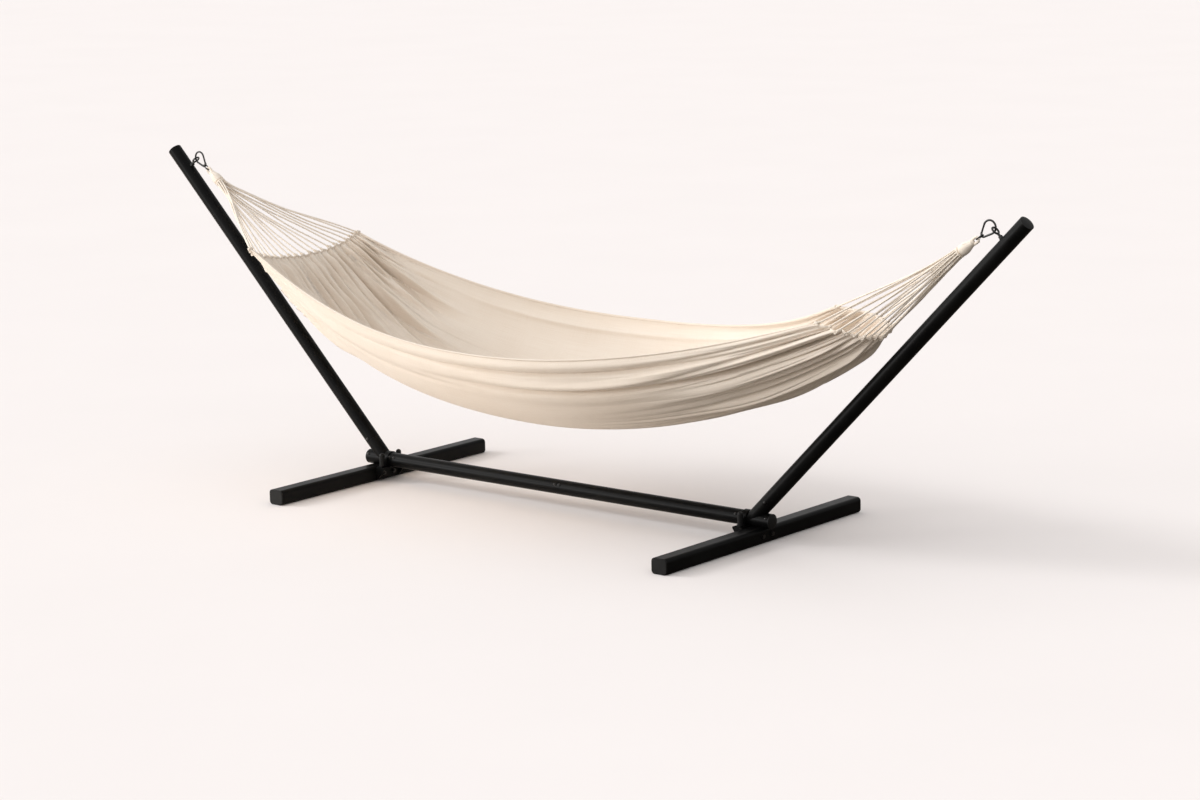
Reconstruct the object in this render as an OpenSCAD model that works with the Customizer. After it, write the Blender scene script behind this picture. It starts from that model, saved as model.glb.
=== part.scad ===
// Hammock on a free-standing steel stand.
// X runs along the hammock, Y across it, Z up. The origin is on the floor, midway between the feet.
// The stand and hooks are drawn once for the +X end and mirrored for the -X end, which is called left.
// The hung cloth is drawn end by end.

/* [Stand] */
// Distance between the centre lines of the two foot tubes
foot_spacing = 1600; // [1500:10:1700]
// Length of each foot with its end caps
foot_len = 1010; // [800:10:1200]
// Width of the foot tube
foot_w = 58; // [54:1:62]
// Height of the foot tube
foot_h = 50; // [46:1:54]
// Outer diameter of the round tubes
tube_d = 48; // [46:1:50]
// Wall thickness of the tubes
wall = 2.5; // [2:0.5:3]
// Angle of the arms above the floor
arm_angle = 45.5; // [44:0.5:47]
// Length of an arm from the axis of the spine to its capped end
arm_len = 1397; // [1380:1:1420]
// Place of the eye bolt, measured along the arm from the axis of the spine
eye_at = 1299; // [1280:1:1320]

/* [Hammock] */
// Open width of the cloth at the middle, from rim to rim
cloth_w_mid = 806; // [700:2:900]
// Open width of the cloth at its left and right gathered ends
cloth_w_end = [524, 236]; // [200:2:540]
// Height of the rims at the middle
rim_z_mid = 566; // [540:1:600]
// Height of the rims at the left and right gathered ends
rim_z_end = [788, 733]; // [700:1:800]
// Height of the bottom at the middle
bottom_z_mid = 282; // [250:1:320]
// Height of the bottom at the left and right gathered ends
bottom_z_end = [729, 704]; // [690:1:740]
// Distance from the middle to the left and right gathered ends, along the rims
rim_reach = [1119, 1052]; // [1040:1:1130]
// Distance from the middle to the left and right gathered ends, along the bottom
bottom_reach = [1153, 1268]; // [1140:1:1280]
// Thickness of the cloth
cloth_t = 5; // [4:0.5:8]
// Cords at each end
cord_count = 22; // [16:2:22]
// Diameter of each cord
cord_d = 3.5; // [2.5:0.5:3.5]

/* [Hooks] */
// Radius of the wide bow of the hook, at the middle of its wire
bow_r = 20; // [19:0.5:21]
// Radius of the narrow bow of the hook, at the middle of its wire
tip_r = 7; // [6.5:0.5:8]
// Distance between the centres of the two bows
bow_gap = 32; // [31:0.5:34]
// Diameter of the hook's wire
hook_wire = 6; // [5.5:0.5:6.5]

/* [Hidden] */
$fn = 48;

steel_colour = [0.07, 0.07, 0.075];
plastic_colour = [0.03, 0.03, 0.03];
bright_colour = [0.75, 0.75, 0.77];
cotton_colour = [0.93, 0.87, 0.78];

fit_gap = 0.1;        // radial gap of an inner tube, and of a screw in its hole
bore_d = tube_d - 2 * wall;
branch_d = tube_d - 0.4;           // a hair under the stub it is welded on
foot_x = foot_spacing / 2;
foot_in_x = foot_x - foot_w / 2;
foot_out_x = foot_x + foot_w / 2;
foot_corner = 12;
cap_t = 4;
cap_plug_len = 22;

// The spine lies in a shallow saddle cut in the top of each foot.
saddle_depth = 4;
spine_z = foot_h + tube_d / 2 - saddle_depth;
knee_x = foot_x - 26;              // where the arm's axis meets the spine's
knee_end_x = foot_x + 46;
spine_seam_x = foot_x - 70;
seam_gap = 0.5;
arm_seam = 80;                     // the arm's seam, measured along the arm
spigot_reach = 58;
spigot_in_branch = 24;
spigot_wall = 2.5;
sleeve_len = 160;
plug_t = 5;

// Bracket, strap and fasteners that hold the spine to the foot.
bracket_t = 5;
shelf_t = 6;
shelf_reach = 37;
shelf_half_w = 54;
bracket_low_z = 5;
strap_t = 3.4;
strap_w = 20;
strap_x = foot_in_x - 16;
strap_bolt_y = 41;
foot_bolt_y = 24;
foot_bolt_z = foot_h / 2 + 1;
bolt_d = 8;
bolt_hole_d = 8.4;
hex_r = 7.5;
nut_h = 6.5;
round_nut_d = 18;
round_nut_h = 44;
screw_d = 4.8;
screw_head_d = 9;
screw_head_h = 3;
screw_len = 8;
screw_turn = 60;                   // how far a screw is turned round the tube from its top
screw_from_seam = 9;

// Eye bolt and hook. The hook hangs in the eye and swings about a line along X through hook_point.
eye_ring_r = 11.5;
eye_wire = 6.4;
eye_out = 30;
insert_d = 11;
insert_len = 16;
hook_in_eye = 1;
side_lap = 0.5;                    // how far the straight side laps each bow
bow_lean = 157;
hook_lean = 227;
pull_lean = 216;
gate_d = 5.6;
gate_gap = 0.4;
lug_t = 2.4;
lug_d = 5.6;
lug_sweep = 41;
lug_half = 3.2;
cheek_t = 1.5;
cheek_w = 4;
cheek_gap = 0.2;
gate_pin_d = 2.4;
link_wire = 4;
link_r = 7;
link_straight = 11;
touch_gap = 0.3;
loop_d = 7;
loop_r = 8;
loop_len = 34;
collar_len = 46;
collar_d = 36;
cord_ring_r = 14.4;
cord_spread = 155;
hem_d = 10;

function along(a) = [cos(a), 0, sin(a)];
function on_arm(t) = [knee_x, 0, spine_z] + t * along(arm_angle);

across_arm = along(arm_angle + 90);
eye_centre = on_arm(eye_at) + (tube_d / 2 + eye_out) * across_arm;
hook_point = eye_centre + hook_in_eye * across_arm;
bow_centre = hook_point + bow_r * along(bow_lean);
tip_centre = bow_centre + bow_gap * along(hook_lean);
pull = along(pull_lean);
pull_up = along(pull_lean - 90);
tip_point = tip_centre + tip_r * pull;
link_start = tip_point - (hook_wire / 2 + link_wire / 2 + touch_gap) * pull;
link_end = link_start + (2 * link_r + link_straight) * pull;
loop_start = link_end - (link_wire / 2 + loop_d / 2 + touch_gap) * pull;
collar_start = loop_start + loop_len * pull;
collar_end = collar_start + collar_len * pull;
tangent_angle = acos((bow_r - tip_r) / bow_gap);
straight_len = sqrt(bow_gap * bow_gap - (bow_r - tip_r) * (bow_r - tip_r));

// Shape of the hung cloth. s runs from one gathered end (-1) to the other (1),
// t from the front rim (-1) through the bottom (0) to the rear rim (1).
section_half_angle = 75;
bottom_square_share = [0.566, 0.8];   // of the left and right halves
s_steps = 24;
t_steps = 14;
function half(s) = s < 0 ? 0 : 1;
function rim_z(s) = rim_z_mid + (rim_z_end[half(s)] - rim_z_mid) * pow(abs(s), 2.2);
function bottom_z(s) = let (share = bottom_square_share[half(s)])
    bottom_z_mid + (bottom_z_end[half(s)] - bottom_z_mid) * (share * s * s + (1 - share) * pow(s, 4));
function half_w(s) = let (end = cloth_w_end[half(s)])
    end / 2 + (cloth_w_mid - end) / 2 * pow(1 - s * s, 1.2);
function reach(s, t) = let (rim = rim_reach[half(s)])
    rim + (bottom_reach[half(s)] - rim) * (1 - t * t);
function rise(t) = (1 - cos(t * section_half_angle)) / (1 - cos(section_half_angle));
function cloth_point(s, t, skin) = let (low = bottom_z(s) + skin) [
    s * reach(s, t),
    (half_w(s) - skin) * sin(t * section_half_angle) / sin(section_half_angle),
    low + (rim_z(s) - low) * rise(t)
];
function cord_t(i) = -1 + 2 * i / (cord_count - 1);
function unit(v) = v / norm(v);

module left_side() { mirror([1, 0, 0]) children(); }
module in_arm() { translate([knee_x, 0, spine_z]) rotate([0, 90 - arm_angle, 0]) children(); }
module along_x(x, y, z) { translate([x, y, z]) rotate([0, 90, 0]) children(); }

module round_tube(len, d, inner_d) {
    difference() {
        cylinder(d = d, h = len);
        translate([0, 0, -1]) cylinder(d = inner_d, h = len + 2);
    }
}

// A cylinder from one point to another.
module rod(from, to, d) {
    v = to - from;
    translate(from)
        rotate([0, acos(v[2] / norm(v)), atan2(v[1], v[0])])
            cylinder(d = d, h = norm(v));
}

// A tube swept along a list of points, whose sections stay square to the path.
module swept_tube(path, d, sides = 8) {
    last = len(path) - 1;
    rings = [for (i = [0 : last])
        let (way = unit(path[min(i + 1, last)] - path[max(i - 1, 0)]),
             side = unit(cross(way, [1, 0, 0.3])),
             up = cross(side, way))
        [for (k = [0 : sides - 1])
            path[i] + d / 2 * (cos(360 * k / sides) * side + sin(360 * k / sides) * up)]];
    points = [for (ring = rings) each ring];
    skin = [for (i = [0 : last - 1]) for (k = [0 : sides - 1])
        let (n = (k + 1) % sides)
        [i * sides + k, (i + 1) * sides + k, (i + 1) * sides + n, i * sides + n]];
    ends = [[for (k = [0 : sides - 1]) k], [for (k = [sides - 1 : -1 : 0]) last * sides + k]];
    polyhedron(points = points, faces = concat(skin, ends), convexity = 4);
}

module foot_outline(inset) {
    w = foot_w - 2 * inset;
    h = foot_h - 2 * inset;
    r = foot_corner - inset;
    square([w - 2 * r, h], center = true);
    square([w, h - 2 * r], center = true);
    for (x = [-1, 1]) for (y = [-1, 1])
        translate([x * (w / 2 - r), y * (h / 2 - r)]) circle(r = r);
}

// Extrudes along Y, centred on the foot's section.
module foot_extrude(y, len) {
    translate([foot_x, y + len, foot_h / 2]) rotate([90, 0, 0]) linear_extrude(len) children();
}

module foot_tube() {
    len = foot_len - 2 * cap_t;
    color(steel_colour) difference() {
        foot_extrude(-len / 2, len) difference() {
            foot_outline(0);
            foot_outline(wall);
        }
        along_x(foot_in_x - 5, 0, spine_z) cylinder(d = tube_d + 0.2, h = foot_w + 10);
        for (y = [-foot_bolt_y, foot_bolt_y])
            along_x(foot_in_x - 5, y, foot_bolt_z) cylinder(d = bolt_hole_d, h = foot_w + 10);
    }
}

module foot_caps() {
    color(plastic_colour) for (turn = [0, 1]) mirror([0, turn, 0]) {
        foot_extrude(foot_len / 2 - cap_t, cap_t - 1.5) foot_outline(0);
        foot_extrude(foot_len / 2 - 1.5, 1.5) foot_outline(1.5);
        foot_extrude(foot_len / 2 - cap_t - cap_plug_len, cap_plug_len) difference() {
            foot_outline(wall + fit_gap);
            foot_outline(wall + 2.5);
        }
    }
}

// Positions a screw, or its hole, square to the spine tube.
module on_spine(x, turn) { translate([x, 0, spine_z]) rotate([turn, 0, 0]) children(); }
module screw_hole() { translate([0, 0, tube_d / 2 - 12]) cylinder(d = screw_d + 2 * fit_gap, h = 20); }
module screw() {
    translate([0, 0, tube_d / 2 - screw_len]) cylinder(d = screw_d, h = screw_len);
    translate([0, 0, tube_d / 2 + 0.5]) intersection() {
        cylinder(d = screw_head_d, h = screw_head_h);
        translate([0, 0, -screw_head_h]) sphere(r = 2 * screw_head_h);
    }
    translate([0, 0, tube_d / 2]) cylinder(d = screw_head_d, h = 0.5);
}

// The welded knee: a stub in line with the spine, and a branch in line with the arm
// that is shaped to the stub and welded on it.
module knee_stub(d, extra) {
    along_x(spine_seam_x + seam_gap / 2 - extra, 0, spine_z)
        cylinder(d = d, h = knee_end_x - spine_seam_x - seam_gap / 2 + 2 * extra);
}
module knee() {
    color(steel_colour) difference() {
        union() {
            knee_stub(tube_d, 0);
            in_arm() cylinder(d = branch_d, h = arm_seam - seam_gap / 2);
        }
        difference() {
            in_arm() cylinder(d = bore_d, h = arm_seam + 1);
            knee_stub(tube_d, 20);
        }
        knee_stub(bore_d, 1);
        for (turn = [-screw_turn, screw_turn]) {
            on_spine(spine_seam_x + screw_from_seam, turn) screw_hole();
            on_spine(knee_end_x - screw_from_seam, turn) screw_hole();
        }
    }
}

// Inner tubes welded in the knee, over which the spine and the arm slide.
module knee_spigots() {
    d = bore_d - 2 * fit_gap;
    color(steel_colour) {
        difference() {
            along_x(spine_seam_x - spigot_reach, 0, spine_z)
                round_tube(spigot_reach + 26, d, d - 2 * spigot_wall);
            for (side = [-1, 1]) for (turn = [-screw_turn, screw_turn])
                on_spine(spine_seam_x + side * screw_from_seam, turn) screw_hole();
        }
        difference() {
            in_arm() translate([0, 0, arm_seam - spigot_in_branch])
                round_tube(spigot_reach + spigot_in_branch, d, d - 2 * spigot_wall);
            arm_screw_places() screw_hole();
        }
    }
}

module knee_plug() {
    color(plastic_colour) along_x(knee_end_x, 0, spine_z) {
        difference() {
            translate([0, 0, -20]) cylinder(d = bore_d - 2 * fit_gap, h = 20);
            translate([0, 0, -21]) cylinder(d = bore_d - 6, h = 18);
            for (turn = [-screw_turn, screw_turn])
                translate([0, 0, -screw_from_seam]) rotate([0, 0, turn]) rotate([0, -90, 0]) screw_hole();
        }
        rotate_extrude() intersection() {
            square([tube_d / 2, plug_t]);
            translate([0, plug_t - 2 * tube_d]) circle(r = 2 * tube_d, $fn = 96);
        }
    }
}

module bracket() {
    color(steel_colour) difference() {
        union() {
            translate([foot_in_x - bracket_t, -shelf_half_w, bracket_low_z])
                cube([bracket_t, 2 * shelf_half_w, foot_h - bracket_low_z]);
            translate([foot_in_x - shelf_reach, -shelf_half_w, foot_h - shelf_t])
                cube([shelf_reach, 2 * shelf_half_w, shelf_t]);
            for (y = [-shelf_half_w, shelf_half_w - bracket_t])
                translate([0, y + bracket_t, 0]) rotate([90, 0, 0]) linear_extrude(bracket_t)
                    polygon([[foot_in_x - bracket_t, bracket_low_z],
                             [foot_in_x - shelf_reach, foot_h - shelf_t],
                             [foot_in_x - bracket_t, foot_h - shelf_t]]);
        }
        along_x(foot_in_x - shelf_reach - 1, 0, spine_z)
            cylinder(d = tube_d + 0.2, h = shelf_reach + 2);
        for (y = [-1, 1]) {
            translate([strap_x, y * strap_bolt_y, 0]) cylinder(d = bolt_hole_d, h = foot_h + 1);
            along_x(foot_in_x - bracket_t - 1, y * foot_bolt_y, foot_bolt_z)
                cylinder(d = bolt_hole_d, h = bracket_t + 2);
        }
    }
}

// An omega-shaped strap over the spine, with a flat ear on each side.
module strap() {
    inner_r = tube_d / 2 + 0.1;
    ear_z = foot_h - spine_z;
    color(steel_colour) difference() {
        along_x(strap_x - strap_w / 2, 0, spine_z) rotate([0, 0, 90]) linear_extrude(strap_w)
            difference() {
                union() {
                    circle(r = inner_r + strap_t, $fn = 96);
                    translate([-inner_r - strap_t, ear_z]) square([2 * (inner_r + strap_t), -ear_z]);
                    translate([-shelf_half_w, ear_z]) square([2 * shelf_half_w, strap_t]);
                }
                circle(r = inner_r, $fn = 96);
                translate([-inner_r, ear_z - 1]) square([2 * inner_r, 1 - ear_z]);
                translate([-shelf_half_w - 1, ear_z - 60]) square([2 * shelf_half_w + 2, 60]);
            }
        for (y = [-strap_bolt_y, strap_bolt_y])
            translate([strap_x, y, foot_h - 1]) cylinder(d = bolt_hole_d, h = strap_t + 3);
    }
}

module strap_bolts() {
    head_h = 4;
    color(steel_colour) for (y = [-strap_bolt_y, strap_bolt_y])
        translate([strap_x, y, foot_h - shelf_t - head_h]) {
            cylinder(d = 14, h = head_h);
            cylinder(d = bolt_d, h = head_h + shelf_t + strap_t + 24);
        }
}

// Tall domed nuts that close the strap.
module round_nuts() {
    r = round_nut_d / 2;
    color(plastic_colour) for (y = [-strap_bolt_y, strap_bolt_y])
        translate([strap_x, y, foot_h + strap_t]) difference() {
            union() {
                cylinder(r = r, h = round_nut_h - r);
                translate([0, 0, round_nut_h - r]) sphere(r = r);
                cylinder(r = r + 1.5, h = 3);
            }
            translate([0, 0, -1]) cylinder(d = bolt_d + 2 * fit_gap, h = 26);
        }
}

module foot_bolts() {
    color(steel_colour) for (y = [-foot_bolt_y, foot_bolt_y])
        along_x(foot_in_x - bracket_t - nut_h - 3, y, foot_bolt_z) {
            cylinder(d = bolt_d, h = foot_w + bracket_t + nut_h + 3);
            translate([0, 0, foot_w + bracket_t + nut_h + 3]) {
                cylinder(d = 15, h = 1.5);
                translate([0, 0, 1.5]) cylinder(r = hex_r, h = 4, $fn = 6);
            }
        }
}

module foot_nuts() {
    color(steel_colour) for (y = [-foot_bolt_y, foot_bolt_y])
        along_x(foot_in_x - bracket_t - nut_h, y, foot_bolt_z) difference() {
            cylinder(r = hex_r, h = nut_h, $fn = 6);
            translate([0, 0, -1]) cylinder(d = bolt_d + 2 * fit_gap, h = nut_h + 2);
        }
}

module spine_tube() {
    color(steel_colour) difference() {
        along_x(seam_gap / 2, 0, spine_z) round_tube(spine_seam_x - seam_gap, tube_d, bore_d);
        for (x = [screw_from_seam, spine_seam_x - screw_from_seam])
            for (turn = [-screw_turn, screw_turn]) on_spine(x, turn) screw_hole();
    }
}

module spine_sleeve() {
    d = bore_d - 2 * fit_gap;
    color(steel_colour) difference() {
        along_x(-sleeve_len / 2, 0, spine_z) round_tube(sleeve_len, d, d - 2 * spigot_wall);
        for (x = [-screw_from_seam, screw_from_seam])
            for (turn = [-screw_turn, screw_turn]) on_spine(x, turn) screw_hole();
    }
}

module spine_screws() {
    color(steel_colour) for (side = [0, 1]) mirror([side, 0, 0])
        for (x = [screw_from_seam, spine_seam_x - screw_from_seam,
                  spine_seam_x + screw_from_seam, knee_end_x - screw_from_seam])
            for (turn = [-screw_turn, screw_turn]) on_spine(x, turn) screw();
}

module arm_screw_places() {
    for (turn = [-90, 90]) in_arm() translate([0, 0, arm_seam + screw_from_seam])
        rotate([turn, 0, 0]) children();
}

module arm_tube() {
    color(steel_colour) difference() {
        in_arm() {
            difference() {
                translate([0, 0, arm_seam + seam_gap / 2])
                    round_tube(arm_len - cap_t - arm_seam - seam_gap / 2, tube_d, bore_d);
                translate([-tube_d, 0, eye_at]) rotate([0, 90, 0])
                    cylinder(d = insert_d + 2 * fit_gap, h = tube_d);
            }
        }
        arm_screw_places() screw_hole();
    }
}

module arm_screws() {
    color(steel_colour) for (side = [0, 1]) mirror([side, 0, 0]) arm_screw_places() screw();
}

// Plug in the top of the arm, with a low dome and a ring pressed in it.
module arm_cap() {
    color(plastic_colour) in_arm() {
        translate([0, 0, arm_len - cap_t - cap_plug_len])
            round_tube(cap_plug_len, bore_d - 2 * fit_gap, bore_d - 6);
        translate([0, 0, arm_len - cap_t]) rotate_extrude() difference() {
            intersection() {
                square([tube_d / 2, cap_t]);
                translate([0, cap_t - 2 * tube_d]) circle(r = 2 * tube_d, $fn = 96);
            }
            translate([tube_d / 4, cap_t - 0.8]) square([1.6, 2]);
        }
    }
}

module eye_bolt() {
    color(steel_colour) in_arm() translate([0, 0, eye_at]) {
        translate([-tube_d / 2 - eye_out, 0, 0])
            rotate_extrude() translate([eye_ring_r, 0]) circle(d = eye_wire);
        translate([-tube_d / 2 - eye_out + eye_ring_r, 0, 0]) rotate([0, 90, 0])
            cylinder(d = bolt_d, h = eye_out - eye_ring_r + insert_len - 2);
    }
}

// Threaded insert in the arm's wall, with its flange and the lock nut outside.
module eye_nuts() {
    flange_t = 1.5;
    color(steel_colour) in_arm() translate([-tube_d / 2, 0, eye_at]) rotate([0, 90, 0]) difference() {
        union() {
            translate([0, 0, -flange_t]) cylinder(d = 16, h = flange_t);
            translate([0, 0, -flange_t - nut_h]) cylinder(r = hex_r, h = nut_h, $fn = 6);
            cylinder(d = insert_d, h = insert_len);
        }
        translate([0, 0, -nut_h - 4]) cylinder(d = bolt_d + 2 * fit_gap, h = nut_h + insert_len + 8);
    }
}

// The hook's own plane: its X axis runs from the wide bow to the narrow one.
module in_hook() { translate(bow_centre) rotate([90, -hook_lean, 0]) children(); }
module bow(r, from, sweep) {
    rotate([0, 0, from]) rotate_extrude(angle = sweep) translate([r, 0]) circle(d = hook_wire);
}
gate_hinge = [bow_gap + tip_r * cos(tangent_angle), -tip_r * sin(tangent_angle), 0];

// A pear-shaped snap hook: one long side is closed, the other holds the gate.
// The narrow bow stops short of the gate's pin and carries a thin lug for it.
module hook() {
    color(steel_colour) in_hook() {
        bow(bow_r, tangent_angle, 360 - 2 * tangent_angle);
        translate([bow_gap, 0, 0])
            bow(tip_r, lug_sweep - tangent_angle, 2 * tangent_angle - lug_sweep);
        rotate([0, 0, tangent_angle]) translate([bow_r, side_lap, 0]) rotate([90, 0, 0])
            cylinder(d = hook_wire + 0.2, h = straight_len + 2 * side_lap);
        difference() {
            union() {
                translate(gate_hinge - [0, 0, lug_t / 2]) cylinder(d = lug_d, h = lug_t);
                translate([bow_gap, 0, -lug_t / 2])
                    rotate([0, 0, lug_sweep / 2 - tangent_angle])
                        translate([tip_r - lug_d / 2, -lug_half, 0])
                            cube([lug_d - 0.8, 2 * lug_half, lug_t]);
            }
            translate(gate_hinge - [0, 0, lug_t]) cylinder(d = gate_pin_d, h = 2 * lug_t);
        }
    }
}

// The gate's X axis runs from its pin to its nose. Two cheeks straddle the hook's lug.
module gate() {
    cheek_z = lug_t / 2 + cheek_gap;
    bar_start = lug_d / 2 + 0.6;
    color(steel_colour) in_hook() translate(gate_hinge) rotate([0, 0, 270 - tangent_angle]) {
        for (z = [-cheek_z - cheek_t, cheek_z]) translate([0, 0, z]) difference() {
            union() {
                cylinder(d = lug_d, h = cheek_t);
                translate([0, -cheek_w / 2, 0]) cube([bar_start + 1, cheek_w, cheek_t]);
            }
            translate([0, 0, -1]) cylinder(d = gate_pin_d + 0.1, h = cheek_t + 2);
        }
        translate([bar_start, 0, 0]) rotate([0, 90, 0])
            cylinder(d = gate_d, h = straight_len - bar_start - gate_gap);
    }
}

module gate_pin() {
    half = lug_t / 2 + cheek_gap + cheek_t;
    color(bright_colour) in_hook() translate(gate_hinge - [0, 0, half])
        cylinder(d = gate_pin_d, h = 2 * half);
}

// Frame whose X axis runs along the pull of the cords, with its XY plane holding Y.
module in_pull(from) { translate(from) rotate([0, -pull_lean, 0]) children(); }

module link() {
    color(steel_colour) in_pull(link_start) {
        for (end = [0, 1]) translate([end * link_straight + link_r, 0, 0])
            rotate([0, 0, end == 0 ? 90 : -90]) rotate_extrude(angle = 180)
                translate([link_r, 0]) circle(d = link_wire);
        for (y = [-link_r, link_r]) translate([link_r, y, 0]) rotate([0, 90, 0])
            cylinder(d = link_wire, h = link_straight);
    }
}

// The eye of cord that the link holds. Both legs run into the collar.
module loop() {
    leg = loop_len - loop_r + 4;
    color(cotton_colour) in_pull(loop_start) rotate([90, 0, 0]) {
        translate([loop_r, 0, 0]) rotate([0, 0, 90]) rotate_extrude(angle = 180)
            translate([loop_r, 0]) circle(d = loop_d);
        for (y = [-loop_r, loop_r]) translate([loop_r, y, 0]) rotate([0, 90, 0])
            cylinder(d = loop_d, h = leg);
    }
}

// Cord wound tight round the bundle, in two bands with a groove between them.
module collar() {
    end_r = collar_d / 2 - 3;
    groove = 6;
    band = (collar_len - groove) / 2;
    color(cotton_colour) in_pull(collar_start) rotate([0, 90, 0]) {
        cylinder(r = end_r, h = collar_len);
        for (z = [0, band + groove]) translate([0, 0, z]) {
            cylinder(r1 = end_r, r2 = collar_d / 2, h = 3);
            translate([0, 0, 3]) cylinder(r = collar_d / 2, h = band - 6);
            translate([0, 0, band - 3]) cylinder(r1 = collar_d / 2, r2 = end_r, h = 3);
        }
    }
}

// The cords leave the collar in a ring, in the order in which they reach the hem.
function cord_start(i) = let (turn = cord_spread * cord_t(i))
    collar_end - 6 * pull + cord_ring_r * (sin(turn) * [0, 1, 0] - cos(turn) * pull_up);

// side is -1 for the left end and 1 for the right, whose cloth hangs lower and narrower.
module cords(side) {
    color(cotton_colour) for (i = [0 : cord_count - 1]) let (from = cord_start(i))
        rod([side * from.x, from.y, from.z], cloth_point(side, cord_t(i), 0), cord_d);
}

module hem(side) {
    color(cotton_colour)
        swept_tube([for (i = [0 : t_steps * 2]) cloth_point(side, -1 + i / t_steps, cloth_t / 2)], hem_d);
}

// A thin open trough, one skin outside and one inside, closed along the rims and the ends.
module hammock_cloth() {
    row = t_steps + 1;
    sheet = (s_steps + 1) * row;
    points = [for (skin = [0, cloth_t]) for (i = [0 : s_steps]) for (j = [0 : t_steps])
        cloth_point(-1 + 2 * i / s_steps, -1 + 2 * j / t_steps, skin)];
    skins = [for (i = [0 : s_steps - 1]) for (j = [0 : t_steps - 1])
        let (a = i * row + j, b = a + 1, c = a + row + 1, d = a + row)
        each [[a, b, c], [a, c, d], [sheet + a, sheet + c, sheet + b], [sheet + a, sheet + d, sheet + c]]];
    rims = [for (i = [0 : s_steps - 1]) for (j = [0, t_steps])
        let (a = i * row + j, b = a + row)
        each (j == 0 ? [[a, b, sheet + b], [a, sheet + b, sheet + a]]
                     : [[a, sheet + b, b], [a, sheet + a, sheet + b]])];
    ends = [for (i = [0, s_steps]) for (j = [0 : t_steps - 1])
        let (a = i * row + j, b = a + 1)
        each (i == 0 ? [[a, sheet + b, b], [a, sheet + a, sheet + b]]
                     : [[a, b, sheet + b], [a, sheet + b, sheet + a]])];
    color(cotton_colour)
        polyhedron(points = points, faces = concat(skins, rims, ends), convexity = 6);
}

left_side() foot_tube();  // left_foot_tube
foot_tube();  // right_foot_tube
left_side() foot_caps();  // left_foot_caps
foot_caps();  // right_foot_caps
left_side() knee();  // left_knee
knee();  // right_knee
left_side() knee_spigots();  // left_knee_spigots
knee_spigots();  // right_knee_spigots
left_side() knee_plug();  // left_knee_plug
knee_plug();  // right_knee_plug
left_side() bracket();  // left_bracket
bracket();  // right_bracket
left_side() strap();  // left_strap
strap();  // right_strap
left_side() strap_bolts();  // left_strap_bolts
strap_bolts();  // right_strap_bolts
left_side() round_nuts();  // left_round_nuts
round_nuts();  // right_round_nuts
left_side() foot_bolts();  // left_foot_bolts
foot_bolts();  // right_foot_bolts
left_side() foot_nuts();  // left_foot_nuts
foot_nuts();  // right_foot_nuts
left_side() spine_tube();  // left_spine_tube
spine_tube();  // right_spine_tube
spine_sleeve();
spine_screws();
left_side() arm_tube();  // left_arm_tube
arm_tube();  // right_arm_tube
left_side() arm_cap();  // left_arm_cap
arm_cap();  // right_arm_cap
arm_screws();
left_side() eye_bolt();  // left_eye_bolt
eye_bolt();  // right_eye_bolt
left_side() eye_nuts();  // left_eye_nuts
eye_nuts();  // right_eye_nuts
left_side() hook();  // left_hook
hook();  // right_hook
left_side() gate();  // left_gate
gate();  // right_gate
left_side() gate_pin();  // left_gate_pin
gate_pin();  // right_gate_pin
left_side() link();  // left_link
link();  // right_link
left_side() loop();  // left_loop
loop();  // right_loop
left_side() collar();  // left_collar
collar();  // right_collar
cords(-1);  // left_cords
cords(1);  // right_cords
hem(-1);  // left_hem
hem(1);  // right_hem
hammock_cloth();
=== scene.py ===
import math

import bpy
import numpy as np
from mathutils import Matrix, Vector


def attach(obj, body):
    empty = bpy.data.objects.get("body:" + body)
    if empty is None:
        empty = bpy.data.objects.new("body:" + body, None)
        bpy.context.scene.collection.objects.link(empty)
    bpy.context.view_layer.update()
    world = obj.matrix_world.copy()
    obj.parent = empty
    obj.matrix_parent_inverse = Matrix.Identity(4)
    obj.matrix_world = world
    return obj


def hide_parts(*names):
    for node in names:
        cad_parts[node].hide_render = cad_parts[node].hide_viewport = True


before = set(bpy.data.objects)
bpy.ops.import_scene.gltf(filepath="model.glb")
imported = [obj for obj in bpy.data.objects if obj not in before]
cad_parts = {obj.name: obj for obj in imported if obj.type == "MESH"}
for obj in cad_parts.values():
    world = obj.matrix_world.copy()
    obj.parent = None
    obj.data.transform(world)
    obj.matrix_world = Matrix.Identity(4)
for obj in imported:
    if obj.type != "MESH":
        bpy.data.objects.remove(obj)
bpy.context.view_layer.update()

# A hammock on a free-standing steel stand. The metal and plastic pieces are the CAD nodes with
# procedural materials. The cloth, hems, cords, collars and loops are made here, in metres.

SIDES = {"left": -1, "right": 1}

# ---------------------------------------------------------------------------------------------
# Sizes of the hammock. s runs from the left gathered end (-1) to the right one (1), and t from
# the front rim (-1) through the bottom (0) to the rear rim (1).

HALF_W_MID, RIM_Z_MID, LOW_Z_MID = 0.403, 0.566, 0.285
RIM_POWER, WIDTH_POWER = 2.2, 1.2
SECTION_ANGLE = math.radians(75)
# The shape of each end: half its width, the heights of its rims and bottom, how far out they reach
# and the share of the sag that is a parabola. skew is how much further out the rear rim reaches,
# tilt how much higher it is, and roll how much higher the rear half of the hem is. The front has
# as much less of each.
END_SHAPE = {
    "left": dict(
        half_w=0.262, rim_z=0.788, low_z=0.731, rim_reach=1.119, low_reach=1.153,
        sag=0.566, skew=0.0, tilt=-0.004, roll=0.0,
    ),
    "right": dict(
        half_w=0.118, rim_z=0.733, low_z=0.706, rim_reach=1.052, low_reach=1.270,
        sag=0.80, skew=-0.048, tilt=0.004, roll=0.014,
    ),
}
FLAT_WIDTH, FLAT_LENGTH = 1.15, 2.35
HALF_LENGTH = 1.14  # about how far each hem is from the middle
CLOTH_T = 0.0016
THREAD_PITCH = 0.0019
RIM_ROLL_R, RIM_ROLL_FLAT = 0.0048, 0.62
STITCH_R, STITCH_LIFT = 0.0005, 0.0013
CORDS = 22
CORD_R = 0.0031
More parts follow.
